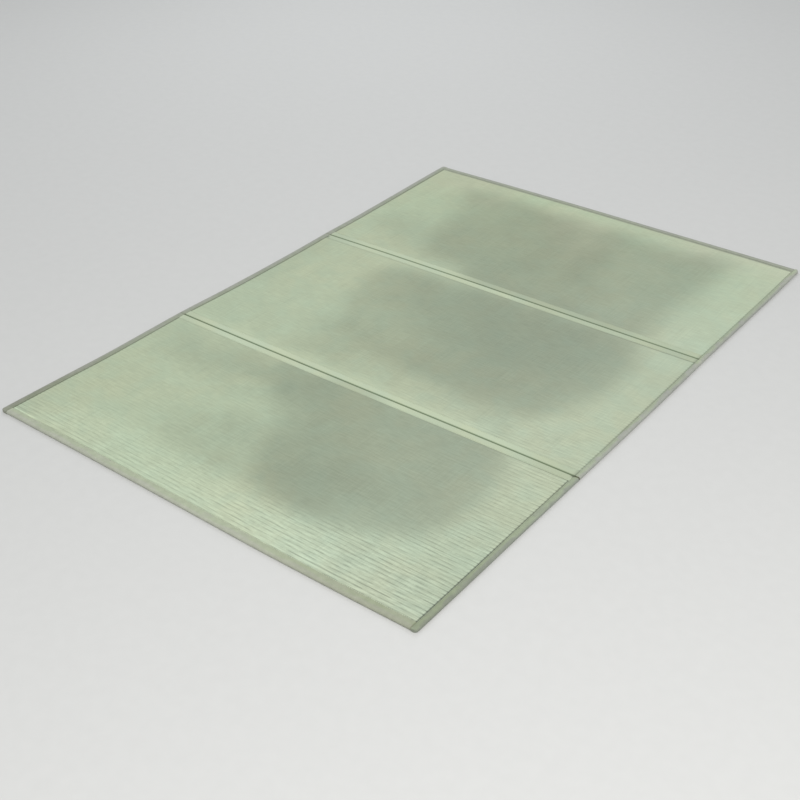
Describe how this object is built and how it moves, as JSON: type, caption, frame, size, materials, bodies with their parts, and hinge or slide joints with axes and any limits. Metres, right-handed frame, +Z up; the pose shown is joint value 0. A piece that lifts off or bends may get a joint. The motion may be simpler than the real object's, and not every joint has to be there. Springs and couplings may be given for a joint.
{
  "type": "tri-fold tatami mat",
  "caption": "Flat folding floor mat of ribbed woven rush with cloth-bound edges and a sewn strip over each fold, laid out open.",
  "frame": {"origin": "on the floor, under the middle of the rectangle that encloses the mat", "axes": "+X across the width along the ribs, +Y along the length from the near panel to the far one, +Z up"},
  "size_m": [1.3997, 1.997, 0.01],
  "materials": {
    "rush_facing": "woven rush in ribs, satin",
    "seam_strip": "smooth woven tape, matt",
    "binding": "plain woven cloth, matt"
  },
  "bodies": {
    "root": {"panel_near": "rush_facing", "panel_middle": "rush_facing", "panel_far": "rush_facing", "seam_strip_near": "seam_strip", "seam_strip_far": "seam_strip", "binding_front": "binding", "binding_back": "binding", "binding_left": "binding", "binding_right_near": "binding", "binding_right_far": "binding"}
  },
  "joints": []
}
